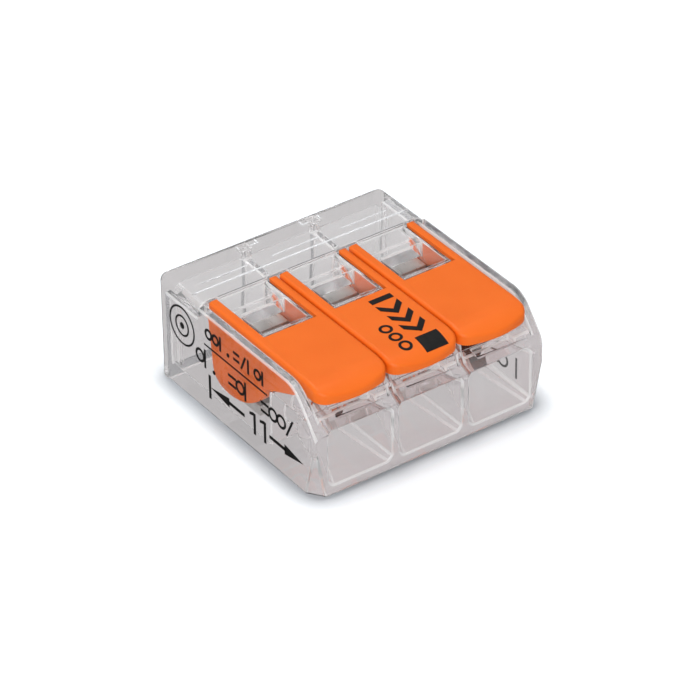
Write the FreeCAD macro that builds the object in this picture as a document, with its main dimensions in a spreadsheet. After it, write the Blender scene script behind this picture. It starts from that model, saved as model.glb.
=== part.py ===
"""Lever wire connector with three poles, as a parametric document.

X runs across the poles, the wire entries face -Y, and Z is up from the face that it rests on.
The origin is the centre of that face. Each lever opens by lifting its front end.
"""
import FreeCAD
import Part

import math
import os

import Sketcher

# Driving dimensions in millimetres, and angles in degrees where the name says so.
DRIVING = {
    # whole connector
    "width": 18.7, "depth": 18.5, "height": 8.25, "pitch": 5.7,
    # how far a cut runs past the piece, how deep an added rib is rooted, and the fitting gaps
    "spare": 1.0, "root": 0.2, "side_gap": 0.05, "slot_gap": 0.1,
    # clear shell
    "side_wall": 0.7, "floor_top": 1.2, "back_wall": 1.0, "rim_top": 8.05, "foot_chamfer": 0.2,
    "slope_y": -6.95, "slope_angle": 50.5, "slope_round": 2.2, "brow_round": 2.0,
    "corner_across": 0.85, "corner_along": 1.2, "corner_height": 4.2, "corner_trace": 0.05,
    "corner_round": 0.3,
    "sill": 6.05, "sill_front": -8.55, "sill_back": -7.75, "sill_ramp": 0.4, "roof": 5.45, "block_back": -3.6,
    # wire entry
    "mouth_half": 2.55, "mouth_low": 0.9, "mouth_high": 5.15, "mouth_bevel": 0.35, "throat": -5.2,
    "throat_half": 1.5, "throat_bevel": 0.6, "top_bevel": 0.85, "bore_radius": 1.35, "bore_height": 3.42,
    "nail_half": 1.55, "nail_floor": 5.6, "nail_front": -8.7, "nail_back": -8.0, "nail_top": 6.55,
    "nail_lip": -9.05,
    # posts between the entries, partitions behind the levers, and wire stops
    "post_half": 0.25, "post_front": -8.9, "post_back": -8.35, "post_low": 4.95, "post_foot": 5.65,
    "post_brow": -8.6, "post_shoulder": 6.15, "post_top": 6.6,
    "partition_half": 0.3, "partition_front": 5.45,
    "stop_front": 3.3, "stop_back": 3.8, "stop_half": 1.9, "stop_top": 4.6,
    # rear cover and its hooks
    "deck_front": 4.25, "deck_under": 7.2, "deck_inset": 0.1, "deck_round": 0.6,
    "hook_nose": 0.35, "hook_top": 7.95, "hook_under": 7.6, "hook_lip": 0.15, "hook_neck": 7.95,
    "flange": 0.4, "flange_reach": 0.75,
    # cover tongue
    "tongue_half": 2.05, "tongue_front": -1.05, "tongue_top": 8.0, "tongue_under": 6.9, "tongue_rib": 0.5,
    "window_half": 1.75, "window_back": 1.9, "window_front": -0.75, "cheek_round": 0.85, "cheek_back": 3.5,
    "sweep_radius": 3.95,
    # lever
    "lever_half": 2.8, "arm_inner": 2.1, "lever_top": 8.2, "plate_under": 7.15, "slot_front": -1.2,
    "slot_under": -1.9, "slot_rise": 0.365, "arm_tip": 4.2, "arm_rake": 0.35, "arm_foot": 6.65,
    "pivot_y": 1.45, "pivot_z": 5.55, "opening_angle": 90.0,
    "crown_start": -7.0, "crown_radius": 3.6, "nose_y": -9.1, "nose_under": 7.0, "nose_lip": 0.9,
    "nose_round": 7.0, "nose_corner": 1.0, "skirt_tip": -7.05, "edge_round": 0.3,
    "stud_radius": 0.55, "bore_clearance": 0.05, "stud_reach": 2.5, "stud_bore_reach": 2.6,
    # metal
    "bar_half": 7.4, "bar_front": -0.4, "bar_back": 3.0, "bar_thick": 0.8,
    "cage_half": 1.7, "cage_thick": 0.25, "cage_front": 1.35, "cage_back": 2.85, "cage_under": 6.2,
    "cage_top": 6.5,
    "strip": 0.3, "strip_half": 1.35, "bend_y": -2.6, "bend_z": 5.3, "bend_radius": 0.75, "spring_back": 2.6,
    "leg_slope": 20.0, "leg_drop": 52.0, "leg_run": 2.6, "leg_fall": 2.0, "leg_angle": 32.0,
    "ear_reach": 2.35, "ear_half": 0.2, "groove_half": 0.37, "groove_reach": 2.45, "groove_cap": 0.39,
}

# The cam lobe below a lever's pivot. Each place is measured from the pivot, and is reached by an arc.
LOBE = ((-2.9, -2.2, 3.6), (-0.3, -3.22, 5.0), (0.9, -3.15, 3.4), (2.05, -2.0, 1.4))
LOBE_START = (-4.35, -0.35)

POLES = (-1, 0, 1)
SIDES = {-1: "left", 1: "right"}
PLANES = {"top": "XY_Plane", "front": "XZ_Plane", "side": "YZ_Plane"}

doc = FreeCAD.newDocument("lever_wire_connector")
sheet = doc.addObject("Spreadsheet::Sheet", "sizes")


def put(row, alias, number):
    """Write one named number into the sheet."""
    sheet.set("A%d" % row, alias)
    sheet.set("B%d" % row, repr(float(number)))
    sheet.setAlias("B%d" % row, alias)


def turned(y, z, degrees):
    """A point turned about the X axis through the origin."""
    cosine, sine = math.cos(math.radians(degrees)), math.sin(math.radians(degrees))
    return cosine * y - sine * z, sine * y + cosine * z


def groove_arc(d):
    """Centre, radius and ends of the arc that the spring's ear follows in the lever's own frame.

    The ear turns about the spring's bend while the lever turns about its studs, so three positions
    of the ear are carried back into the closed lever and one circle is laid through them.
    """
    slope = math.radians(d["leg_slope"])
    start_y = -d["bend_radius"] * math.sin(slope)
    start_z = -d["bend_radius"] * math.cos(slope)
    ear_y = start_y + d["leg_run"] * math.cos(slope)
    ear_z = start_z - d["leg_run"] * math.sin(slope)
    path = []
    for share in (0.0, 0.5, 1.0):
        y, z = turned(ear_y, ear_z, share * d["leg_angle"])
        y += d["bend_y"] - d["pivot_y"]
        z += d["bend_z"] - d["pivot_z"]
        y, z = turned(y, z, share * d["opening_angle"])
        path.append(FreeCAD.Vector(0, y + d["pivot_y"], z + d["pivot_z"]))
    circle = Part.Arc(*path).toShape().Curve
    return circle.Center.y, circle.Center.z, circle.Radius, path[0], path[2]


def fill_sheet():
    """Write the driving dimensions, and the groove arc that follows from them."""
    centre_y, centre_z, radius, closed_end, open_end = groove_arc(DRIVING)
    derived = {
        "groove_y": centre_y, "groove_z": centre_z, "groove_radius": radius,
        "closed_y": closed_end.y, "closed_z": closed_end.z, "open_y": open_end.y, "open_z": open_end.z,
    }
    for row, (alias, number) in enumerate([*DRIVING.items(), *derived.items()], start=1):
        put(row, alias, number)
    doc.recompute()


def new_body(name):
    """A body whose label names the piece."""
    body = doc.addObject("PartDesign::Body", name)
    body.Label = name
    return body


def number(owner, text):
    """The value of an expression, as a plain number."""
    return float(owner.evalExpression(text))


def new_sketch(body, name, plane, offset="0"):
    """A sketch on one of the body's own origin planes, moved along that plane's normal."""
    sketch = body.newObject("Sketcher::SketchObject", name)
    role = PLANES[plane]
    origin_plane = next(item for item in body.Origin.OriginFeatures if item.Role == role)
    sketch.AttachmentSupport = [(origin_plane, "")]
    sketch.MapMode = "FlatFace"
    sketch.setExpression("AttachmentOffset.Base.z", offset)
    return sketch


def bind(sketch, constraint, expression):
    """Add a driving constraint and tie it to the sheet."""
    index = sketch.addConstraint(constraint)
    sketch.setExpression("Constraints[%d]" % index, expression)


def pin(sketch, edge, end, across, up):
    """Hold one end of an edge at a place given by two expressions."""
    for kind, expression in (("DistanceX", across), ("DistanceY", up)):
        value = number(sketch, expression)
        bind(sketch, Sketcher.Constraint(kind, -1, 1, edge, end, value), expression)


def outline(sketch, corners):
    """Draw a closed outline. A corner is (across, up), or (across, up, radius, side).

    The longer form reaches the corner by an arc of that radius. Its centre lies to the left of the
    straight way from the last corner where side is 1, and to the right of it where side is -1.
    """
    places = [FreeCAD.Vector(number(sketch, c[0]), number(sketch, c[1]), 0) for c in corners]
    edges = []
    for index, corner in enumerate(corners):
        start, end = places[index - 1], places[index]
        if len(corner) == 2:
            edges.append((sketch.addGeometry(Part.LineSegment(start, end), False), 1, 2))
            continue
        radius, side = number(sketch, corner[2]), corner[3]
        half = (end - start) * 0.5
        rise = math.sqrt(max(radius ** 2 - half.Length ** 2, 0.0))
        left = FreeCAD.Vector(-half.y, half.x, 0).normalize()
        centre = start + half + left * (rise * side)
        first, last = (start, end) if side > 0 else (end, start)
        circle = Part.Circle(centre, FreeCAD.Vector(0, 0, 1), radius)
        arc = Part.ArcOfCircle(circle, circle.parameter(first), circle.parameter(last))
        edge = sketch.addGeometry(arc, False)
        bind(sketch, Sketcher.Constraint("Radius", edge, radius), corner[2])
        edges.append((edge, 1, 2) if side > 0 else (edge, 2, 1))
    for index, corner in enumerate(corners):
        edge, _, end = edges[index]
        following, start, _ = edges[(index + 1) % len(edges)]
        sketch.addConstraint(Sketcher.Constraint("Coincident", edge, end, following, start))
        pin(sketch, edge, end, corner[0], corner[1])


def rectangle(sketch, left, right, low, high):
    """Draw a rectangle between four expressions."""
    outline(sketch, [(left, low), (right, low), (right, high), (left, high)])


def circle(sketch, across, up, radius):
    """Draw a circle."""
    centre = FreeCAD.Vector(number(sketch, across), number(sketch, up), 0)
    size = number(sketch, radius)
    edge = sketch.addGeometry(Part.Circle(centre, FreeCAD.Vector(0, 0, 1), size), False)
    bind(sketch, Sketcher.Constraint("Radius", edge, size), radius)
    pin(sketch, edge, 3, across, up)


def feature(body, kind, sketch, length, both=False, reverse=False):
    """Pad or pocket a sketch, and stop if it changed nothing."""
    before = body.Shape.Volume if body.Tip else 0.0
    made = body.newObject("PartDesign::" + kind, sketch.Name + "_" + kind.lower())
    made.Profile = sketch
    made.setExpression("Length", length)
    made.Midplane = both
    made.Reversed = reverse
    doc.recompute()
    if abs(body.Shape.Volume - before) < 1e-4:
        raise RuntimeError("%s changed nothing" % made.Name)
    return made


def pad(body, sketch, length, both=False, reverse=False):
    return feature(body, "Pad", sketch, length, both, reverse)


def pocket(body, sketch, length, both=False, reverse=False):
    return feature(body, "Pocket", sketch, length, both, reverse)


def centre_of(pole):
    """Expression for a pole's place across the connector."""
    return "%d * sizes.pitch" % pole


def dress(body, kind, size, chosen):
    """Fillet or chamfer the edges that a test picks out."""
    base = body.Tip
    names = ["Edge%d" % (i + 1) for i, edge in enumerate(base.Shape.Edges) if chosen(edge)]
    made = body.newObject("PartDesign::" + kind, "%s_%s" % (body.Name, kind.lower()))
    made.Base = (base, names)
    made.setExpression("Radius" if kind == "Fillet" else "Size", size)
    doc.recompute()
    return made


def on_height(edge, height):
    """True where all of an edge lies at one height."""
    box = edge.BoundBox
    return abs(box.ZMin - height) < 1e-4 and abs(box.ZMax - height) < 1e-4


# ---------------------------------------------------------------- clear front shell

def base_shell(body):
    """Block with rounded front corners, a sloped front and an open inside."""
    side, front = "sizes.width / 2", "sizes.depth / 2"
    plan = new_sketch(body, "base_plan", "top")
    rectangle(plan, "-" + side, side, "-" + front, front + " - sizes.back_wall")
    pad(body, plan, "sizes.rim_top")
    dress(body, "Fillet", "sizes.corner_round", front_corner)

    angle = "(sizes.slope_angle * 1 deg)"
    brow = "(sizes.rim_top - (%s + sizes.slope_y) * tan(%s))" % (front, angle)
    top_reach = "sizes.slope_round * tan(%s / 2)" % angle
    low_reach = "sizes.brow_round * tan((90 deg - %s) / 2)" % angle
    slope = new_sketch(body, "base_slope", "side")
    outline(slope, [
        ("-%s - sizes.spare" % front, "%s - %s" % (brow, low_reach)),
        ("-%s" % front, "%s - %s" % (brow, low_reach)),
        ("-%s + %s * cos(%s)" % (front, low_reach, angle), "%s + %s * sin(%s)" % (brow, low_reach, angle),
         "sizes.brow_round", -1),
        ("sizes.slope_y - %s * cos(%s)" % (top_reach, angle),
         "sizes.rim_top - %s * sin(%s)" % (top_reach, angle)),
        ("sizes.slope_y + %s" % top_reach, "sizes.rim_top", "sizes.slope_round", -1),
        ("sizes.slope_y + %s" % top_reach, "sizes.rim_top + sizes.spare"),
        ("-%s - sizes.spare" % front, "sizes.rim_top + sizes.spare"),
    ])
    pocket(body, slope, "sizes.width + 2 * sizes.spare", both=True)

    inner = "(sizes.width / 2 - sizes.side_wall)"
    outside = "-sizes.depth / 2 - sizes.spare"
    hollow = new_sketch(body, "base_hollow", "side")
    outline(hollow, [
        ("sizes.block_back", "sizes.floor_top"),
        ("sizes.depth / 2", "sizes.floor_top"),
        ("sizes.depth / 2", "sizes.rim_top + sizes.spare"),
        (outside, "sizes.rim_top + sizes.spare"),
        (outside, "sizes.sill - (sizes.sill_front - (%s))" % outside),
        ("sizes.sill_front", "sizes.sill"),
        ("sizes.sill_back", "sizes.sill"),
        ("sizes.sill_back + sizes.sill_ramp", "sizes.roof"),
        ("sizes.block_back", "sizes.roof"),
    ])
    pocket(body, hollow, "2 * %s" % inner, both=True)

    under = new_sketch(body, "base_under_deck", "side")
    rectangle(under, "sizes.deck_front", "sizes.depth / 2", "sizes.deck_under", "sizes.rim_top + sizes.spare")
    pocket(body, under, "sizes.width + 2 * sizes.spare", both=True)


def corner_facet(body, side):
    """Facet on a front corner that widens from nothing to its full size at the foot."""
    across, along, name = "%d * sizes.width / 2" % side, "-sizes.depth / 2", SIDES[side]
    sections = []
    for level, height, share in (("foot", "0", "1"), ("head", "sizes.corner_height", "sizes.corner_trace")):
        section = new_sketch(body, "corner_%s_%s" % (level, name), "top", height)
        outline(section, [
            ("%s - %d * sizes.corner_across * %s" % (across, side, share), along),
            ("%s + %d * sizes.spare" % (across, side), "%s - sizes.spare" % along),
            (across, "%s + sizes.corner_along * %s" % (along, share)),
        ])
        sections.append(section)
    facet = body.newObject("PartDesign::SubtractiveLoft", "facet_" + name)
    facet.Profile = sections[0]
    facet.Sections = [sections[1]]
    facet.Ruled = True
    doc.recompute()


def entry_section(sketch, pole, half, low, high, bevel):
    """Eight-sided section of a wire entry."""
    left, right = "%s - %s" % (centre_of(pole), half), "%s + %s" % (centre_of(pole), half)
    top_bevel = "(%s) * sizes.top_bevel" % bevel
    outline(sketch, [
        (left, "%s + %s" % (low, bevel)),
        ("%s + %s" % (left, bevel), low),
        ("%s - %s" % (right, bevel), low),
        (right, "%s + %s" % (low, bevel)),
        (right, "%s - %s" % (high, top_bevel)),
        ("%s - %s" % (right, top_bevel), high),
        ("%s + %s" % (left, top_bevel), high),
        (left, "%s - %s" % (high, top_bevel)),
    ])


def wire_entry(body, pole):
    """Tapered mouth and the round bore that guides the bared wire."""
    mouth = new_sketch(body, "mouth_%d" % (pole + 2), "front", "sizes.depth / 2")
    entry_section(mouth, pole, "sizes.mouth_half", "sizes.mouth_low", "sizes.mouth_high", "sizes.mouth_bevel")
    throat = new_sketch(body, "throat_%d" % (pole + 2), "front", "-sizes.throat")
    entry_section(throat, pole, "sizes.throat_half", "(sizes.bore_height - sizes.throat_half)",
                  "(sizes.bore_height + sizes.throat_half)", "sizes.throat_bevel")
    funnel = body.newObject("PartDesign::SubtractiveLoft", "funnel_%d" % (pole + 2))
    funnel.Profile = mouth
    funnel.Sections = [throat]
    funnel.Ruled = True
    doc.recompute()

    bore = new_sketch(body, "bore_%d" % (pole + 2), "front", "-sizes.block_back")
    circle(bore, centre_of(pole), "sizes.bore_height", "sizes.bore_radius")
    pocket(body, bore, "sizes.block_back - sizes.throat + sizes.side_gap", reverse=True)

    nail = new_sketch(body, "nail_%d" % (pole + 2), "side", centre_of(pole))
    outline(nail, [
        ("sizes.nail_front", "sizes.nail_floor"),
        ("sizes.nail_back", "sizes.nail_floor"),
        ("sizes.nail_back", "sizes.nail_top"),
        ("sizes.nail_lip", "sizes.nail_top"),
    ])
    pocket(body, nail, "2 * sizes.nail_half", both=True)


def base_posts(body):
    """Posts between the wire entries, partitions behind the levers and hooks for the cover."""
    for index, line in enumerate(("-sizes.pitch / 2", "sizes.pitch / 2"), start=1):
        post = new_sketch(body, "post_%d" % index, "side", line)
        outline(post, [
            ("sizes.post_front", "sizes.post_low"),
            ("sizes.post_back", "sizes.post_low"),
            ("sizes.post_back", "sizes.post_top"),
            ("sizes.post_brow", "sizes.post_shoulder"),
            ("sizes.post_front", "sizes.post_foot"),
        ])
        pad(body, post, "2 * sizes.post_half", both=True)

        wall = new_sketch(body, "partition_%d" % index, "side", line)
        neck, back = "sizes.hook_neck", "(sizes.depth / 2 - sizes.back_wall)"
        outline(wall, [
            ("sizes.partition_front", "sizes.floor_top - sizes.root"),
            (back, "sizes.floor_top - sizes.root"),
            (back, "sizes.hook_under"),
            ("%s + sizes.hook_nose" % back, "sizes.hook_under"),
            ("%s + sizes.hook_nose" % back, "sizes.hook_under + sizes.hook_lip"),
            (back, "sizes.hook_top"),
            (neck, "sizes.hook_top"),
            (neck, "sizes.deck_under - sizes.side_gap"),
            ("sizes.partition_front", "sizes.deck_under - sizes.side_gap"),
        ])
        pad(body, wall, "2 * sizes.partition_half", both=True)


def conductor_stop(body, pole):
    """Low wall that the end of the bared wire meets."""
    stop = new_sketch(body, "stop_%d" % (pole + 2), "side", centre_of(pole))
    rectangle(stop, "sizes.stop_front", "sizes.stop_back", "sizes.floor_top - sizes.root", "sizes.stop_top")
    pad(body, stop, "2 * sizes.stop_half", both=True)


def make_base():
    body = new_body("housing_base")
    base_shell(body)
    for side in (-1, 1):
        corner_facet(body, side)
    for pole in POLES:
        wire_entry(body, pole)
        conductor_stop(body, pole)
    base_posts(body)
    dress(body, "Chamfer", "sizes.foot_chamfer", lambda edge: on_height(edge, 0.0) and outer_edge(edge))
    return body


def front_corner(edge):
    """True for the two upright edges at the front."""
    box = edge.BoundBox
    return box.ZMax - box.ZMin > 1 and box.YMax < -DRIVING["depth"] / 2 + 0.01


def outer_edge(edge):
    """True for the bottom edges that go round the outside, apart from the one at the cover."""
    return edge.BoundBox.YMin < DRIVING["depth"] / 2 - DRIVING["back_wall"] - 0.01


# ---------------------------------------------------------------- clear rear cover

def cover_shell(body):
    """Deck and back wall, with the rounded rear edge and flanges that sit inside the base."""
    back, inside = "sizes.depth / 2", "(sizes.depth / 2 - sizes.back_wall)"
    shell = new_sketch(body, "cover_shell", "side")
    outline(shell, [
        ("sizes.deck_front", "sizes.deck_under"),
        (inside, "sizes.deck_under"),
        (inside, "0"),
        ("%s - sizes.foot_chamfer" % back, "0"),
        (back, "sizes.foot_chamfer"),
        (back, "sizes.height"),
        ("sizes.deck_front", "sizes.height"),
    ])
    pad(body, shell, "sizes.width - 2 * sizes.deck_inset", both=True)
    dress(body, "Fillet", "sizes.deck_round", cover_rim)

    for side in (-1, 1):
        line = "%d * (sizes.width / 2 - sizes.side_wall - sizes.flange / 2 - sizes.side_gap)" % side
        flange = new_sketch(body, "flange_" + SIDES[side], "side", line)
        rectangle(flange, "%s - sizes.flange_reach" % inside, "%s + sizes.root" % inside,
                  "sizes.floor_top + sizes.slot_gap", "sizes.deck_under + sizes.root")
        pad(body, flange, "sizes.flange", both=True)


def cover_rim(edge):
    """True for the deck's side and rear edges, and for the two upright rear corners."""
    box = edge.BoundBox
    at_back = box.YMin > DRIVING["depth"] / 2 - 0.01
    at_side = abs(edge.CenterOfMass.x) > DRIVING["width"] / 2 - DRIVING["deck_inset"] - 0.01
    return (on_height(edge, DRIVING["height"]) and (at_back or at_side)) or (at_back and at_side)


def hook_slot(body, index, line):
    """Slot in the deck that a hook of the base snaps into."""
    inside = "(sizes.depth / 2 - sizes.back_wall)"
    front, nose = "sizes.hook_neck - sizes.slot_gap", "%s + sizes.hook_nose + sizes.slot_gap" % inside
    slot = new_sketch(body, "hook_slot_%d" % index, "side", line)
    outline(slot, [
        (front, "sizes.deck_under - sizes.spare"),
        (inside, "sizes.deck_under - sizes.spare"),
        (inside, "sizes.hook_under"),
        (nose, "sizes.hook_under"),
        (nose, "sizes.height + sizes.spare"),
        (front, "sizes.height + sizes.spare"),
    ])
    pocket(body, slot, "2 * sizes.partition_half + sizes.slot_gap", both=True)


def tongue(body, pole):
    """Tongue that fills a lever's slot, with its cheeks, studs and test opening."""
    tag, line = "%d" % (pole + 2), centre_of(pole)
    blade = new_sketch(body, "tongue_" + tag, "side", line)
    outline(blade, [
        ("sizes.tongue_front", "sizes.tongue_top"),
        ("sizes.tongue_front", "sizes.tongue_under"),
        ("sizes.tongue_front + sizes.tongue_rib", "sizes.tongue_under"),
        ("sizes.pivot_y - sizes.cheek_round", "sizes.pivot_z"),
        ("sizes.pivot_y + sizes.cheek_round", "sizes.pivot_z", "sizes.cheek_round", 1),
        ("sizes.cheek_back", "sizes.deck_under - sizes.root"),
        ("sizes.arm_tip + sizes.tongue_rib", "sizes.deck_under"),
        ("sizes.arm_tip + sizes.tongue_rib", "sizes.tongue_top"),
    ])
    pad(body, blade, "2 * sizes.tongue_half", both=True)

    studs = new_sketch(body, "studs_" + tag, "side", line)
    circle(studs, "sizes.pivot_y", "sizes.pivot_z", "sizes.stud_radius")
    pad(body, studs, "2 * sizes.stud_reach", both=True)

    room = new_sketch(body, "tongue_room_" + tag, "side", line)
    rectangle(room, "sizes.window_front", "sizes.arm_tip + sizes.spare", "sizes.pivot_z - 2 * sizes.spare",
              "sizes.tongue_under")
    pocket(body, room, "2 * sizes.window_half", both=True)

    window = new_sketch(body, "window_" + tag, "top", "sizes.tongue_top")
    rectangle(window, "%s - sizes.window_half" % line, "%s + sizes.window_half" % line,
              "sizes.window_front", "sizes.window_back")
    pocket(body, window, "sizes.tongue_top - sizes.tongue_under + sizes.root")


def arm_room(body, index, line, wide):
    """Undercut of the deck's front edge, where the ends of the lever arms swing down."""
    room = new_sketch(body, "arm_room_%d" % index, "side", line)
    reach, high, low = "sizes.sweep_radius", "sizes.height + sizes.root", "sizes.deck_under - sizes.root"

    def along(height):
        """Expression for the sweep's place along Y at a height."""
        return "sizes.pivot_y + sqrt(%s ^ 2 - (%s - sizes.pivot_z) ^ 2)" % (reach, height)

    outline(room, [
        (along(low), low),
        (along(high), high, reach, 1),
        ("sizes.pivot_y + sizes.spare", high),
        ("sizes.pivot_y + sizes.spare", low),
    ])
    pocket(body, room, wide, both=True)


def make_cover():
    body = new_body("rear_cover")
    cover_shell(body)
    outer = "(sizes.pitch + (sizes.lever_half + sizes.tongue_half) / 2)"
    between = "sizes.pitch / 2"
    narrow = "sizes.lever_half - sizes.tongue_half"
    wide = "sizes.pitch - 2 * sizes.tongue_half"
    rooms = (("-" + outer, narrow), ("-" + between, wide), (between, wide), (outer, narrow))
    for index, (line, across) in enumerate(rooms, start=1):
        arm_room(body, index, line, across + " + sizes.side_gap")
    for pole in POLES:
        tongue(body, pole)
    for index, line in enumerate(("-sizes.pitch / 2", "sizes.pitch / 2"), start=1):
        hook_slot(body, index, line)
    return body


# ---------------------------------------------------------------- levers

def lever_side(body):
    """Side view of a lever: the plate on top, and the side plates down to the cam lobe."""
    tip = "(sizes.nose_y - sizes.root)"
    drop = "sizes.crown_radius - sqrt(sizes.crown_radius ^ 2 - (sizes.crown_start - %s) ^ 2)" % tip
    side = new_sketch(body, "lever_side", "side")
    outline(side, [
        ("sizes.arm_tip", "sizes.lever_top"),
        ("sizes.crown_start", "sizes.lever_top"),
        (tip, "sizes.lever_top - (%s)" % drop, "sizes.crown_radius", 1),
        (tip, "sizes.nose_under"),
        ("sizes.skirt_tip", "sizes.nose_under"),
        ("sizes.pivot_y + (%s)" % LOBE_START[0], "sizes.pivot_z + (%s)" % LOBE_START[1]),
        *(("sizes.pivot_y + (%s)" % y, "sizes.pivot_z + (%s)" % z, str(radius), 1) for y, z, radius in LOBE),
        ("sizes.arm_tip - sizes.arm_rake", "sizes.arm_foot"),
    ])
    pad(body, side, "2 * sizes.lever_half", both=True)


def lever_hollow(body):
    """Room between the side plates, and the slot behind the plate."""
    low, high = "sizes.pivot_z - 4 * sizes.spare", "sizes.lever_top + sizes.spare"
    back, lip = "sizes.arm_tip + sizes.spare", "sizes.nose_y + sizes.nose_lip"
    hollow = new_sketch(body, "lever_hollow", "side")
    outline(hollow, [
        (back, high),
        ("sizes.slot_front + sizes.slot_rise", high),
        ("sizes.slot_under", "sizes.plate_under"),
        (lip, "sizes.plate_under"),
        (lip, "sizes.nose_under - sizes.spare"),
        ("sizes.pivot_y - 3 * sizes.spare", low),
        (back, low),
    ])
    pocket(body, hollow, "2 * sizes.arm_inner", both=True)


def lever_nose(body):
    """Rounded front end, seen from above: two small corner arcs and one wide arc."""
    half, corner, front = "sizes.lever_half", "sizes.nose_corner", "sizes.nose_round"
    centre = "(sizes.nose_y + %s)" % front
    reach = "(%s - %s)" % (front, corner)
    corner_y = "(%s - sqrt(%s ^ 2 - (%s - %s) ^ 2))" % (centre, reach, half, corner)
    touch_x = "((%s - %s) * %s / %s)" % (half, corner, front, reach)
    touch_y = "(%s + (%s - %s) * %s / %s)" % (centre, corner_y, centre, front, reach)
    nose = new_sketch(body, "lever_nose", "top", "sizes.lever_top + sizes.spare")
    outline(nose, [
        ("-%s - sizes.spare" % half, "sizes.nose_y - sizes.spare"),
        ("%s + sizes.spare" % half, "sizes.nose_y - sizes.spare"),
        ("%s + sizes.spare" % half, corner_y),
        (half, corner_y),
        (touch_x, touch_y, corner, -1),
        ("-%s" % touch_x, touch_y, front, -1),
        ("-%s" % half, corner_y, corner, -1),
        ("-%s - sizes.spare" % half, corner_y),
    ])
    pocket(body, nose, "sizes.lever_top")


def lever_bores(body):
    """Blind bores for the studs, and the blind cam grooves for the spring's ears."""
    bores = new_sketch(body, "lever_bores", "side")
    circle(bores, "sizes.pivot_y", "sizes.pivot_z", "sizes.stud_radius + sizes.bore_clearance")
    pocket(body, bores, "2 * sizes.stud_bore_reach", both=True)

    grooves = new_sketch(body, "lever_grooves", "side")
    wide, radius = "sizes.groove_half", "sizes.groove_radius"
    cap = "sizes.groove_cap"

    def beside(end, sign):
        """Expressions for the groove's edge beside one end of its centre line."""
        return tuple(
            "sizes.groove_%s + (sizes.%s_%s - sizes.groove_%s) * (%s %s %s) / %s"
            % (axis, end, axis, axis, radius, sign, wide, radius) for axis in ("y", "z"))

    outline(grooves, [
        (*beside("closed", "-"), cap, -1),
        (*beside("open", "-"), "%s - %s" % (radius, wide), 1),
        (*beside("open", "+"), cap, -1),
        (*beside("closed", "+"), "%s + %s" % (radius, wide), -1),
    ])
    pocket(body, grooves, "2 * sizes.groove_reach", both=True)


def lever_rim(edge):
    """True for the rim of the lever's top, outside the slot and clear of the arm ends."""
    middle = edge.valueAt((edge.FirstParameter + edge.LastParameter) / 2)
    if on_height(edge, DRIVING["lever_top"]):
        at_back = edge.BoundBox.YMin > DRIVING["arm_tip"] - 0.01
        return abs(middle.x) > DRIVING["arm_inner"] + 0.01 and not at_back
    away = DRIVING["crown_start"] - middle.y
    radius = DRIVING["crown_radius"]
    if away < 0 or edge.BoundBox.ZMin < DRIVING["nose_under"] + 0.01:
        return False
    on_crown = DRIVING["lever_top"] - radius + math.sqrt(radius ** 2 - away ** 2)
    return abs(middle.z - on_crown) < 0.01


def make_lever(pole):
    body = new_body("lever_%d" % (pole + 2))
    lever_side(body)
    lever_hollow(body)
    lever_nose(body)
    lever_bores(body)
    dress(body, "Fillet", "sizes.edge_round", lever_rim)
    body.setExpression("Placement.Base.x", centre_of(pole))
    return body


# ---------------------------------------------------------------- metal

def make_busbar():
    """Strip across the poles, with one cage standing on it at each pole."""
    body = new_body("busbar")
    strip = new_sketch(body, "bar_plan", "top", "sizes.floor_top")
    rectangle(strip, "-sizes.bar_half", "sizes.bar_half", "sizes.bar_front", "sizes.bar_back")
    pad(body, strip, "sizes.bar_thick")
    for pole in POLES:
        line = centre_of(pole)
        frame = new_sketch(body, "cage_%d" % (pole + 2), "front", "-sizes.cage_back")
        foot = "sizes.floor_top + sizes.bar_thick / 2"
        half, inner = "sizes.cage_half", "(sizes.cage_half - sizes.cage_thick)"
        outline(frame, [
            ("%s - %s" % (line, half), foot),
            ("%s - %s" % (line, inner), foot),
            ("%s - %s" % (line, inner), "sizes.cage_under"),
            ("%s + %s" % (line, inner), "sizes.cage_under"),
            ("%s + %s" % (line, inner), foot),
            ("%s + %s" % (line, half), foot),
            ("%s + %s" % (line, half), "sizes.cage_top"),
            ("%s - %s" % (line, half), "sizes.cage_top"),
        ])
        pad(body, frame, "sizes.cage_back - sizes.cage_front")
    return body


def bend_point(radius, degrees):
    """Expressions for a place on the spring's bend, by its angle from +Y towards +Z."""
    return ("sizes.bend_y + (%s) * cos(%s)" % (radius, degrees),
            "sizes.bend_z + (%s) * sin(%s)" % (radius, degrees))


INNER = "sizes.bend_radius - sizes.strip / 2"
OUTER = "sizes.bend_radius + sizes.strip / 2"
LEG_START = "(270 deg - sizes.leg_slope * 1 deg)"


def make_spring(pole):
    """Fixed leg of the clamping spring, and the bend up to where the moving leg starts."""
    body = new_body("clamp_spring_%d" % (pole + 2))
    side = new_sketch(body, "spring_side", "side")
    outline(side, [
        ("sizes.spring_back", "sizes.bend_z + %s" % OUTER),
        ("sizes.bend_y", "sizes.bend_z + %s" % OUTER),
        (*bend_point(OUTER, LEG_START), OUTER, 1),
        bend_point(INNER, LEG_START),
        ("sizes.bend_y", "sizes.bend_z + %s" % INNER, INNER, -1),
        ("sizes.spring_back", "sizes.bend_z + %s" % INNER),
    ])
    pad(body, side, "2 * sizes.strip_half", both=True)
    body.setExpression("Placement.Base.x", centre_of(pole))
    return body


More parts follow.
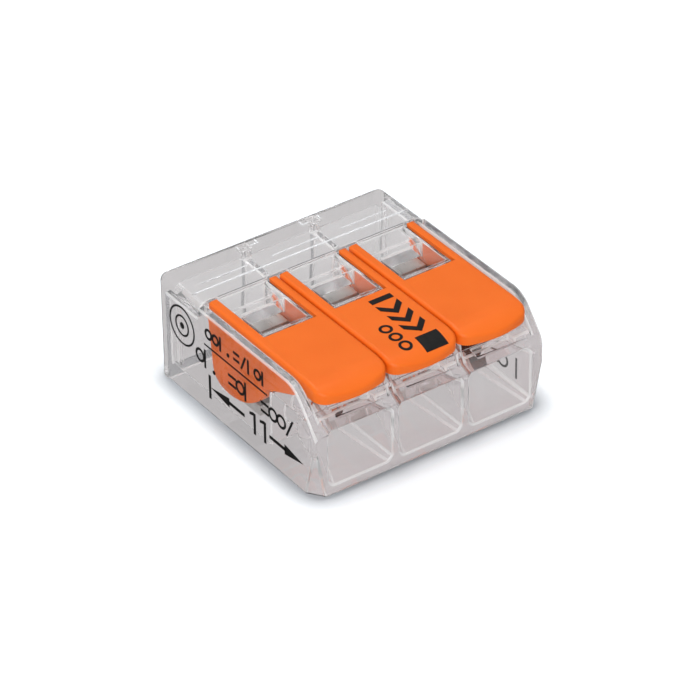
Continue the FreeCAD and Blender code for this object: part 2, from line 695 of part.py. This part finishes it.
def along_leg(run, fall, across):
    """Expressions for a place on the moving leg: its way along both straights, and off their middle."""
    start_y, start_z = bend_point("sizes.bend_radius", LEG_START)
    slope, drop = "(sizes.leg_slope * 1 deg)", "(sizes.leg_drop * 1 deg)"
    lean = drop if fall != "0" else slope
    y = "%s + %s * cos(%s) + %s * cos(%s)" % (start_y, run, slope, fall, drop)
    z = "%s - %s * sin(%s) - %s * sin(%s)" % (start_z, run, slope, fall, drop)
    return "%s + (%s) * sin(%s)" % (y, across, lean), "%s + (%s) * cos(%s)" % (z, across, lean)


def make_leg(pole):
    """Moving leg: a gentle straight, a knee with an ear on each side, and a steep straight to its edge."""
    body = new_body("clamp_leg_%d" % (pole + 2))
    half = "sizes.strip / 2"
    knee = "(sizes.strip / 2 * tan((sizes.leg_drop - sizes.leg_slope) * 0.5 deg))"
    side = new_sketch(body, "leg_side", "side")
    outline(side, [
        along_leg("0", "0", half),
        along_leg("0", "0", "-%s" % half),
        along_leg("(sizes.leg_run - %s)" % knee, "0", "-%s" % half),
        along_leg("sizes.leg_run", "sizes.leg_fall", "-%s" % half),
        along_leg("sizes.leg_run", "sizes.leg_fall", half),
        along_leg("(sizes.leg_run + %s)" % knee, "0", half),
    ])
    pad(body, side, "2 * sizes.strip_half", both=True)

    ear = new_sketch(body, "leg_ears", "side")
    outline(ear, [
        along_leg("(sizes.leg_run - sizes.ear_half)", "0", half),
        along_leg("(sizes.leg_run - sizes.ear_half)", "0", "-%s" % half),
        along_leg("(sizes.leg_run - %s)" % knee, "0", "-%s" % half),
        along_leg("sizes.leg_run", "sizes.ear_half", "-%s" % half),
        along_leg("sizes.leg_run", "sizes.ear_half", half),
        along_leg("(sizes.leg_run + %s)" % knee, "0", half),
    ])
    pad(body, ear, "2 * sizes.ear_reach", both=True)
    body.setExpression("Placement.Base.x", centre_of(pole))
    return body


# ---------------------------------------------------------------- whole connector

def check(pieces):
    """Stop before anything is written if an object failed or a piece isn't one sound solid."""
    for item in doc.Objects:
        if "Invalid" in item.State or "Error" in item.State:
            raise RuntimeError("%s failed: %s" % (item.Name, item.State))
    for piece in pieces:
        shape = piece.Shape
        if shape.isNull() or not shape.isValid() or len(shape.Solids) != 1:
            raise RuntimeError("%s isn't one sound solid" % piece.Label)


fill_sheet()
pieces = [make_base(), make_cover(), make_busbar()]
for pole in POLES:
    pieces.append(make_lever(pole))
    pieces.append(make_spring(pole))
    pieces.append(make_leg(pole))
doc.recompute()
check(pieces)

os.makedirs("parts", exist_ok=True)
for piece in pieces:
    piece.Shape.exportStep("parts/%s.step" % piece.Label)
    box = piece.Shape.BoundBox
    print("%-16s %8.2f mm3  %s" % (piece.Label, piece.Shape.Volume, box))
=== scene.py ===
"""Clear lever wire connector with three poles, closed, on a pale floor in soft studio light."""
import math

import bmesh
import bpy
from mathutils import Matrix, Vector
from mathutils.bvhtree import BVHTree


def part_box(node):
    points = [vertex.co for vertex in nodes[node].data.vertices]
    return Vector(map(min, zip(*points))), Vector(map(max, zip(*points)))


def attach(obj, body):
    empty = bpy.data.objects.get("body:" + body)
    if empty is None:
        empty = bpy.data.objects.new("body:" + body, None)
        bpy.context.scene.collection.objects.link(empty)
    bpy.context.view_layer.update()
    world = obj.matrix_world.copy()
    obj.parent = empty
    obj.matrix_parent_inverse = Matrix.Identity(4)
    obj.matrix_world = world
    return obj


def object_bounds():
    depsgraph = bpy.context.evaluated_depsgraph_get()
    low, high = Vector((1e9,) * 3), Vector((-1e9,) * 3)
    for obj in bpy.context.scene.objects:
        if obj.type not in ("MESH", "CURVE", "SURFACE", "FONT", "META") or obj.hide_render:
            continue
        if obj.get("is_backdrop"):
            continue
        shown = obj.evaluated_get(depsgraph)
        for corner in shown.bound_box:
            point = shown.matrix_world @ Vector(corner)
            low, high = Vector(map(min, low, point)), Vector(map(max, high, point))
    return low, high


MM = 0.001
POLES = (1, 2, 3)

# Camera: its compass, height and roll in degrees, its distance, and its aim from the connector's middle.
VIEW_AZIMUTH, VIEW_ELEVATION, VIEW_ROLL = -35.19, 34.74, -0.59
VIEW_DISTANCE = 264.0 * MM
VIEW_AIM = Vector((-0.66, -0.98, -0.12)) * MM
LENS, SENSOR = 202.6, 36.0

# Edges. Those sharper than SHARP_ANGLE degrees are rounded, and faces within FLAT_ANGLE count as one flat.
SHARP_ANGLE, FLAT_ANGLE = 30.0, 0.5
WELD_GAP = 0.002 * MM
BASE_EDGE, COVER_EDGE = 0.13 * MM, 0.08 * MM
LEVER_EDGE, BUSBAR_EDGE, SPRING_EDGE = 0.06 * MM, 0.04 * MM, 0.03 * MM

# The base's plastic turns greyer between these two places along its depth, in millimetres.
FRONT_START_Y, FRONT_FULL_Y = -6.2, -8.6

# Printing, in millimetres: its thickness, its gap to the surface, and where each group starts.
PRINT_THICK, PRINT_GAP = 0.02, 0.005
GAUGE_LENGTH = 11.0
GAUGE_START_Y, GAUGE_Z = 2.95, 2.4
LIFT_MARK_X, LIFT_MARK_Y = 0.1, -2.05

# Raised marks on the deck, in millimetres.
DECK_RAISE = 0.05
LATCH_X = (-2.55, 2.65)

# Stage: reach of the painted contact shadow in millimetres, the floor's glow for the camera, and the light of
# the sky.
PAINTED_SHADOW_REACH = 1.7
CAMERA_GLOW = 0.32
SKY_LIGHT = 0.78
TENT_DIM, TENT_BRIGHT = 0.25, 1.0
TENT_LOW, TENT_HIGH = 0.45, 0.95


# ---------------------------------------------------------------- node trees

class Tree:
    """The node tree of a material or world, with short ways to add nodes and link them."""

    def __init__(self, owner, output="ShaderNodeOutputMaterial"):
        owner.use_nodes = True
        self.owner = owner
        self.nodes = owner.node_tree.nodes
        self.links = owner.node_tree.links
        self.nodes.clear()
        self.output = self.nodes.new(output)

    def add(self, kind, values=None, **settings):
        """A new node. Settings are its own properties, and values go to its inputs, by name or number."""
        node = self.nodes.new(kind)
        for key, value in settings.items():
            setattr(node, key, value)
        for key, value in (values or {}).items():
            if isinstance(value, bpy.types.NodeSocket):
                self.links.new(value, node.inputs[key])
            else:
                node.inputs[key].default_value = value
        return node

    def noise(self, scale, detail=3.0, roughness=0.5):
        """Noise of the object's own space, with features about 1/scale metres across."""
        place = self.add("ShaderNodeTexCoord")
        texture = self.add("ShaderNodeTexNoise", {
            "Vector": place.outputs["Object"], "Scale": scale, "Detail": detail, "Roughness": roughness})
        return texture.outputs["Fac"]

    def spread(self, factor, low, high, start=0.3, end=0.7):
        """The factor between start and end, stretched to run from low to high."""
        node = self.add("ShaderNodeMapRange", {
            "Value": factor, "From Min": start, "From Max": end, "To Min": low, "To Max": high})
        return node.outputs["Result"]

    def mix(self, factor, low, high):
        """Two colours mixed by a factor."""
        node = self.add("ShaderNodeMix", {
            "Factor": factor, "A": (*low, 1.0), "B": (*high, 1.0)}, data_type="RGBA")
        return node.outputs["Result"]

    def product(self, first, second):
        node = self.add("ShaderNodeMath", {0: first, 1: second}, operation="MULTIPLY")
        return node.outputs[0]

    def bump(self, height, strength, distance):
        node = self.add("ShaderNodeBump", {
            "Height": height, "Strength": strength, "Distance": distance})
        return node.outputs["Normal"]

    def choose(self, factor, off, on):
        """One shader where the factor is 0, and the other where it is 1."""
        return self.add("ShaderNodeMixShader", {0: factor, 1: off.outputs[0], 2: on.outputs[0]})

    def finish(self, shader):
        self.links.new(shader.outputs[0], self.output.inputs["Surface"])
        return self.owner


# ---------------------------------------------------------------- materials

def clear_plastic(name, tint, roughness, bend, clear, front_tint=None, front_clear=None):
    """Moulded clear plastic: bends light, mirrors softly, and lets lamps through.

    Clear is the share that isn't milky. The two front values take over towards the wire entries.
    """
    tree = Tree(bpy.data.materials.new(name))
    flow = tree.noise(350.0, detail=2.0)
    grain = tree.noise(4200.0)
    shell = tree.add("ShaderNodeBsdfPrincipled", {
        "Base Color": (*tint, 1.0), "IOR": bend, "Transmission Weight": clear,
        "Roughness": tree.spread(grain, roughness * 0.5, roughness * 1.5),
        "Coat Weight": 0.5, "Coat Roughness": 0.04, "Coat IOR": 1.5,
        "Normal": tree.bump(flow, 0.2, 0.1 * MM)})
    if front_tint:
        place = tree.add("ShaderNodeTexCoord")
        parts = tree.add("ShaderNodeSeparateXYZ", {0: place.outputs["Object"]})
        depth, start, end = parts.outputs["Y"], FRONT_FULL_Y * MM, FRONT_START_Y * MM
        forward = tree.spread(depth, 1.0, 0.0, start, end)
        tree.links.new(tree.mix(forward, tint, front_tint), shell.inputs["Base Color"])
        milky = tree.spread(depth, front_clear, clear, start, end)
        tree.links.new(milky, shell.inputs["Transmission Weight"])
    lamp = tree.add("ShaderNodeBsdfTransparent", {"Color": (0.97, 0.97, 0.975, 1.0)})
    path = tree.add("ShaderNodeLightPath")
    return tree.finish(tree.choose(path.outputs["Is Shadow Ray"], shell, lamp))


def orange_plastic():
    """Satin moulded plastic with fine erosion grain and faint colour drift."""
    tree = Tree(bpy.data.materials.new("orange_plastic"))
    drift = tree.noise(260.0, detail=2.0)
    grain = tree.noise(9000.0, detail=4.0)
    body = tree.add("ShaderNodeBsdfPrincipled", {
        "Base Color": tree.mix(tree.spread(drift, 0.0, 1.0), (0.82, 0.142, 0.006), (0.86, 0.156, 0.009)),
        "Roughness": tree.spread(grain, 0.36, 0.48),
        "Normal": tree.bump(grain, 0.12, 0.02 * MM),
        "Specular IOR Level": 0.3,
        "Subsurface Weight": 0.12,
        "Subsurface Radius": (1.0, 0.35, 0.1),
        "Subsurface Scale": 0.6 * MM})
    return tree.finish(body)


def rolled_metal(name, dark, light, roughness, lines):
    """Sheet metal with rolling lines along Y."""
    tree = Tree(bpy.data.materials.new(name))
    place = tree.add("ShaderNodeTexCoord")
    stretched = tree.add("ShaderNodeMapping", {"Vector": place.outputs["Object"], "Scale": (1.0, 0.04, 1.0)})
    streaks = tree.add("ShaderNodeTexNoise", {
        "Vector": stretched.outputs["Vector"], "Scale": lines, "Detail": 3.0})
    cloud = tree.noise(900.0)
    metal = tree.add("ShaderNodeBsdfPrincipled", {
        "Base Color": tree.mix(tree.spread(cloud, 0.0, 1.0), dark, light),
        "Metallic": 1.0,
        "Roughness": tree.spread(streaks.outputs["Fac"], roughness * 0.8, roughness * 1.3),
        "Normal": tree.bump(streaks.outputs["Fac"], 0.1, 0.01 * MM)})
    return tree.finish(metal)


def ink():
    """Matt black printing ink, slightly uneven."""
    tree = Tree(bpy.data.materials.new("printing_ink"))
    patch = tree.noise(2500.0)
    body = tree.add("ShaderNodeBsdfPrincipled", {
        "Base Color": tree.mix(tree.spread(patch, 0.0, 1.0), (0.004, 0.004, 0.004), (0.012, 0.011, 0.011)),
        "Specular IOR Level": 0.2,
        "Roughness": tree.spread(patch, 0.45, 0.65)})
    return tree.finish(body)


# ---------------------------------------------------------------- CAD nodes

def give(piece, material):
    """Make one material the only one of an object."""
    piece.data.materials.clear()
    piece.data.materials.append(material)


def soften(node, width, rim=None, merge_flats=False):
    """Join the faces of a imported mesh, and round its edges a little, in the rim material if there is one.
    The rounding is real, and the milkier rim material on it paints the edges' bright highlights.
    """
    mesh = node.data
    if "custom_normal" in mesh.attributes:
        mesh.attributes.remove(mesh.attributes["custom_normal"])
    weld = node.modifiers.new("weld", "WELD")
    weld.merge_threshold = WELD_GAP
    if merge_flats:
        flats = node.modifiers.new("flats", "DECIMATE")
        flats.decimate_type = "DISSOLVE"
        flats.angle_limit = math.radians(FLAT_ANGLE)
    bevel = node.modifiers.new("edge_rounding", "BEVEL")
    bevel.width = width
    bevel.segments = 2
    bevel.limit_method = "ANGLE"
    bevel.angle_limit = math.radians(SHARP_ANGLE)
    bevel.miter_outer = "MITER_ARC"
    bevel.use_clamp_overlap = False
    if rim:
        mesh.materials.append(rim)
        bevel.material = 1
    cut = node.modifiers.new("triangles", "TRIANGULATE")
    cut.min_vertices = 5
    normals = node.modifiers.new("even_normals", "WEIGHTED_NORMAL")
    normals.weight = 100
    for polygon in mesh.polygons:
        polygon.use_smooth = True


def dress(node, material, edge, rim=None, merge_flats=False):
    """Give a CAD node its material and its rounded edges."""
    give(node, material)
    soften(node, edge, rim, merge_flats)


# ---------------------------------------------------------------- flat shapes, in millimetres

def bar(left, right, low, high):
    """Upright rectangle, as a list of corners."""
    return [(left, low), (right, low), (right, high), (left, high)]


def sliced_bar(left, slice_width, slices, high):
    """Solid block in upright slices, so that it can follow a curved surface."""
    return [bar(left + slice_width * i, left + slice_width * (i + 1), 0.0, high) for i in range(slices)]


def arrow_head(tip, back, half_width):
    """Solid arrow head along the row."""
    return [(tip, 0.0), (back, -half_width), (back, half_width)]


def disc(across, up, radius, steps=20):
    """Filled circle."""
    turns = [2 * math.pi * i / steps for i in range(steps)]
    return [(across + radius * math.cos(t), up + radius * math.sin(t)) for t in turns]


def ring(across, up, radius, line, steps=24):
    """Circle drawn as a line, in short four-sided pieces."""
    inner, outer = radius - line / 2, radius + line / 2
    shapes = []
    for i in range(steps):
        a, b = (2 * math.pi * k / steps for k in (i, i + 1))
        corners = ((inner, a), (outer, a), (outer, b), (inner, b))
        shapes.append([(across + r * math.cos(t), up + r * math.sin(t)) for r, t in corners])
    return shapes


def figure_one(left):
    """The figure one: a stem and a short flag."""
    high, flag_left = 0.85, left - 0.45
    stem = bar(left, left + 0.26, -high, high)
    flag = [(flag_left, 0.5), (left, 0.6), (left, high), (left - 0.05, high), (flag_left, 0.72)]
    return [stem, flag]


def strip_gauge():
    """Arrows that give the bared length of the wire, from an end bar to the wire entry, with its number."""
    line, end_high = 0.13, 0.95
    shapes = [bar(-line, line, -end_high, end_high)]
    shapes.append(arrow_head(0.1, 2.3, 0.36))
    shapes.append(bar(2.2, 4.1, -line, line))
    shapes += figure_one(5.15) + figure_one(6.35)
    shapes.append(bar(7.0, 8.9, -line, line))
    shapes.append(arrow_head(GAUGE_LENGTH - 0.15, 8.75, 0.4))
    return shapes


def sign(kind, left, low, size, line):
    """One plain sign: a ring, an upright, a pair of dashes, a slanted stroke or a dot."""
    right, high = left + size * 0.62, low + size
    if kind == "o":
        return ring((left + right) / 2, low + size / 2, size * 0.3, line)
    if kind == "|":
        return [bar(left, left + line, low, high)]
    if kind == "=":
        return [bar(left, right, low + size * at, low + size * at + line) for at in (0.2, 0.65)]
    if kind == "/":
        return [[(left, low), (left + line, low), (right, high), (right - line, high)]]
    return [disc(left + line, low + line, line * 0.8)]


def sign_row(kinds, left, low, size, line, pitch):
    """A row of signs at even pitch."""
    return [shape for i, kind in enumerate(kinds) if kind != " "
            for shape in sign(kind, left + i * pitch, low, size, line)]


def rating_rows():
    """Two rows of plain signs with a rule between them, and a mark of two rings and a dot at the rear."""
    shapes = sign_row("oo|.=/|o|", left=-0.35, low=3.65, size=1.15, line=0.2, pitch=0.82)
    shapes += sign_row("o|. =o| =oo/", left=-1.55, low=1.25, size=1.5, line=0.2, pitch=0.95)
    shapes.append(bar(-0.55, 6.85, 3.14, 3.27))
    mark = (-3.2, 3.2)
    for radius in (1.45, 0.75):
        shapes += ring(*mark, radius, line=0.15)
    shapes.append(disc(*mark, radius=0.25))
    return shapes


def side_signs():
    """Three plain signs by the third wire entry."""
    return sign_row("|o=", left=-6.7, low=0.9, size=1.7, line=0.17, pitch=1.0)


def lift_mark():
    """Chevrons between a bar and a block, pointing at the lever's nose, over three rings for the poles."""
    high, deep, thick = 1.75, 0.85, 0.6
    shapes = sliced_bar(0.0, 0.25, 2, high)
    for start in (0.8, 2.1, 3.4):
        for edge in (0.0, high):
            shapes.append([(start, edge), (start + thick, edge),
                           (start + thick + deep, high / 2), (start + deep, high / 2)])
    shapes += sliced_bar(5.2, 0.2, 7, high)
    for middle in (3.3, 4.4, 5.5):
        shapes += ring(middle, -0.95, radius=0.38, line=0.2)
    return shapes


def deck_marks():
    """The seam where the cover snaps in, the outlines of its two latches, and a rib behind each pole."""
    shapes = [bar(-8.9, 8.9, 5.42, 5.56)]
    half, line, front, back = 0.8, 0.12, 8.1, 8.6
    for x in LATCH_X:
        shapes.append(bar(x - half, x + half, front, front + line))
        for side in (x - half, x + half - line):
            shapes.append(bar(side, side + line, front + line, back))
    for pole in POLES:
        low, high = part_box("lever_%d" % pole)
        x = (low.x + high.x) / 2 / MM
        shapes.append(bar(x - 1.9, x + 1.9, 6.2, 6.3))
    return shapes


# ---------------------------------------------------------------- shapes laid on a surface

def raised(name, shapes, place, thick, body, material):
    """Shapes as thin solids. Place turns a point (across, up, out) in millimetres into metres in the frame."""
    built = bmesh.new()
    for corners in shapes:
        low = [built.verts.new(place(a, u, 0.0)) for a, u in corners]
        top = [built.verts.new(place(a, u, thick)) for a, u in corners]
        built.faces.new(top)
        built.faces.new(low[::-1])
        for i in range(len(corners)):
            k = (i + 1) % len(corners)
            built.faces.new((low[i], low[k], top[k], top[i]))
    bmesh.ops.recalc_face_normals(built, faces=built.faces[:])
    mesh = bpy.data.meshes.new(name)
    built.to_mesh(mesh)
    built.free()
    piece = bpy.data.objects.new(name, mesh)
    bpy.context.scene.collection.objects.link(piece)
    give(piece, material)
    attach(piece, body)


def on_left_wall():
    """Places on the outside of the left wall, from the gauge's start towards the wire entries."""
    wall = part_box("housing_base")[0].x

    def place(along, up, out):
        return Vector((wall - (PRINT_GAP + out) * MM, (GAUGE_START_Y - along) * MM, (GAUGE_Z + up) * MM))
    return place


def on_right_wall():
    """Places on the outside of the right wall, by depth and height."""
    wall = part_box("housing_base")[1].x

    def place(depth, up, out):
        return Vector((wall + (PRINT_GAP + out) * MM, depth * MM, up * MM))
    return place


def on_middle_lever():
    """Places on the curved top of the middle lever, from the mark's start towards the lever's nose."""
    lever = bpy.data.objects["lever_2"]
    tree = BVHTree.FromObject(lever, bpy.context.evaluated_depsgraph_get())
    to_local = lever.matrix_world.inverted()
    down = to_local.to_3x3() @ Vector((0.0, 0.0, -1.0))
    above = 50.0 * MM

    def place(along, up, out):
        x, y = (LIFT_MARK_X + up) * MM, (LIFT_MARK_Y - along) * MM
        hit = tree.ray_cast(to_local @ Vector((x, y, above)), down)[0]
        return Vector((x, y, (lever.matrix_world @ hit).z + (PRINT_GAP + out) * MM))
    return place


def on_deck():
    """Places on the deck of the cover, by width and depth."""
    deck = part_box("rear_cover")[1].z

    def place(across, depth, out):
        return Vector((across * MM, depth * MM, deck + out * MM))
    return place


# ---------------------------------------------------------------- stage

def floor_material():
    """Pale floor with a painted contact shadow near the connector. In the connector's reflections it is a
    plain grey glow, and seen through the plastic it is an even glow that stands in for a lit floor.
    """
    tree = Tree(bpy.data.materials.new("studio_floor"))
    speckle = tree.spread(tree.noise(60.0), 0.0, 1.0)
    # Painted shadow: ambient occlusion darkens the floor's colour near the connector, and fades its glow
    # there.
    near = tree.add("ShaderNodeAmbientOcclusion", {"Distance": PAINTED_SHADOW_REACH * MM}, samples=8)
    unshadowed_share = tree.spread(near.outputs["AO"], 0.0, 1.0, start=0.5, end=1.0)
    pale = tree.add("ShaderNodeBsdfDiffuse", {
        "Color": tree.mix(unshadowed_share, (0.45, 0.47, 0.50), (0.79, 0.81, 0.83))})
    path = tree.add("ShaderNodeLightPath")
    seen = tree.product(path.outputs["Is Camera Ray"], CAMERA_GLOW)
    glow = tree.add("ShaderNodeEmission", {
        "Color": (0.93, 0.97, 1.0, 1.0), "Strength": tree.product(seen, unshadowed_share)})
    bright = tree.add("ShaderNodeAddShader", {0: pale.outputs[0], 1: glow.outputs[0]})
    # The floor as the connector mirrors it: a plain grey glow, not lit by the lamps.
    grey_glow_in_reflections = tree.add("ShaderNodeEmission", {
        "Color": tree.mix(speckle, (0.15, 0.15, 0.15), (0.17, 0.17, 0.17)), "Strength": 1.0})
    # Painted light: seen through the plastic, the floor is an even glow, not lit by the lamps.
    painted_lit_glow = tree.add("ShaderNodeEmission", {
        "Color": tree.mix(speckle, (0.54, 0.52, 0.525), (0.56, 0.54, 0.545)), "Strength": 1.0})
    mirrored = tree.choose(path.outputs["Is Glossy Ray"], bright, grey_glow_in_reflections)
    return tree.finish(tree.choose(path.outputs["Is Transmission Ray"], mirrored, painted_lit_glow))


def make_floor():
    bpy.ops.mesh.primitive_plane_add(size=6.0, location=(0.0, 0.0, -0.01 * MM))
    floor = bpy.context.object
    floor.name = "floor"
    give(floor, floor_material())
    floor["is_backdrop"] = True


def area_light(name, place, size, power):
    """Square soft box at a place, turned towards the origin."""
    light = bpy.data.lights.new(name, "AREA")
    light.shape = "SQUARE"
    light.size = size
    light.energy = power
    lamp = bpy.data.objects.new(name, light)
    bpy.context.scene.collection.objects.link(lamp)
    lamp.location = place
    lamp.rotation_euler = (-Vector(place)).to_track_quat("-Z", "Y").to_euler()


def make_sky():
    """Pale backdrop. What the connector mirrors is a tent that is grey at the sides and bright above."""
    world = bpy.data.worlds.new("studio")
    bpy.context.scene.world = world
    tree = Tree(world, "ShaderNodeOutputWorld")
    direction = tree.add("ShaderNodeTexCoord")
    parts = tree.add("ShaderNodeSeparateXYZ", {0: direction.outputs["Generated"]})
    tent = tree.add("ShaderNodeBackground", {
        "Strength": tree.spread(parts.outputs["Z"], TENT_DIM, TENT_BRIGHT, TENT_LOW, TENT_HIGH)})
    plain = tree.add("ShaderNodeBackground", {"Strength": SKY_LIGHT})
    backdrop = tree.add("ShaderNodeBackground")
    path = tree.add("ShaderNodeLightPath")
    unseen = tree.choose(path.outputs["Is Glossy Ray"], plain, tent)
    tree.finish(tree.choose(path.outputs["Is Camera Ray"], unseen, backdrop))


def make_lights():
    """The sky and two soft boxes: places and sizes in metres, power in watts."""
    make_sky()
    area_light("overhead_box", (-0.03, 0.08, 0.30), size=0.22, power=0.38)
    area_light("front_box", (-0.20, -0.22, 0.14), size=0.2, power=0.48)


def make_camera():
    """Camera at the given compass and height, aimed near the middle of the connector."""
    low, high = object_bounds()
    azimuth, elevation = math.radians(VIEW_AZIMUTH), math.radians(VIEW_ELEVATION)
    back = Vector((math.sin(azimuth) * math.cos(elevation), -math.cos(azimuth) * math.cos(elevation),
                   math.sin(elevation)))
    data = bpy.data.cameras.new("camera")
    data.lens, data.sensor_width = LENS, SENSOR
    data.clip_start, data.clip_end = 0.01, 20.0
    camera = bpy.data.objects.new("camera", data)
    bpy.context.scene.collection.objects.link(camera)
    camera.location = (low + high) / 2 + VIEW_AIM + back * VIEW_DISTANCE
    turn = (-back).to_track_quat("-Z", "Y").to_matrix().to_4x4()
    camera.rotation_euler = (turn @ Matrix.Rotation(math.radians(VIEW_ROLL), 4, "Z")).to_euler()
    bpy.context.scene.camera = camera


# ---------------------------------------------------------------- whole scene

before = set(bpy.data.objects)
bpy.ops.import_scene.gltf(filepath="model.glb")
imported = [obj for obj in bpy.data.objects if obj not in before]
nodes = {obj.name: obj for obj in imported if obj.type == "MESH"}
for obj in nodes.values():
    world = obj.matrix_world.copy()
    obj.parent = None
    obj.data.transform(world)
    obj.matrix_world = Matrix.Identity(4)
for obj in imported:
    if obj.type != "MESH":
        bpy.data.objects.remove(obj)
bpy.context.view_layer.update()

base_clear = clear_plastic("clear_base", tint=(0.995, 0.99, 0.992), roughness=0.03, bend=1.125, clear=0.998,
                           front_tint=(0.9, 0.86, 0.868), front_clear=0.9)
cover_clear = clear_plastic("clear_cover", tint=(0.99, 0.992, 0.994), roughness=0.06, bend=1.16, clear=0.95)
# Edge materials: the rounded edges are real, and the milkier, whiter plastic on them paints their bright
# highlights.
rim_highlight_tint = (0.95, 0.945, 0.945)
base_rim_highlight = clear_plastic("clear_base_rim", rim_highlight_tint, roughness=0.1, bend=1.3, clear=0.6)
cover_rim_highlight = clear_plastic("clear_cover_rim", rim_highlight_tint, roughness=0.12, bend=1.25, clear=0.65)
orange = orange_plastic()
tinned = rolled_metal("tinned_copper", (0.62, 0.6, 0.58), (0.74, 0.73, 0.71), roughness=0.32, lines=9000.0)
steel = rolled_metal("spring_steel", (0.5, 0.5, 0.51), (0.62, 0.62, 0.63), roughness=0.25, lines=12000.0)
black = ink()

dress(nodes["housing_base"], base_clear, BASE_EDGE, base_rim_highlight, merge_flats=True)
dress(nodes["rear_cover"], cover_clear, COVER_EDGE, cover_rim_highlight)
dress(nodes["busbar"], tinned, BUSBAR_EDGE)
for pole in POLES:
    dress(nodes["lever_%d" % pole], orange, LEVER_EDGE)
    dress(nodes["clamp_spring_%d" % pole], steel, SPRING_EDGE)
    dress(nodes["clamp_leg_%d" % pole], steel, SPRING_EDGE)

raised("strip_gauge", strip_gauge(), on_left_wall(), PRINT_THICK, "housing", black)
raised("rating_rows", rating_rows(), on_left_wall(), PRINT_THICK, "housing", black)
raised("side_signs", side_signs(), on_right_wall(), PRINT_THICK, "housing", black)
raised("lift_mark", lift_mark(), on_middle_lever(), PRINT_THICK, "lever_2", black)
raised("deck_mouldings", deck_marks(), on_deck(), DECK_RAISE, "housing", cover_clear)

make_floor()
make_lights()
make_camera()
scene = bpy.context.scene
scene.view_settings.view_transform = "Standard"
scene.cycles.max_bounces = 32
scene.cycles.transmission_bounces = 32
scene.cycles.transparent_max_bounces = 32
scene.cycles.glossy_bounces = 12
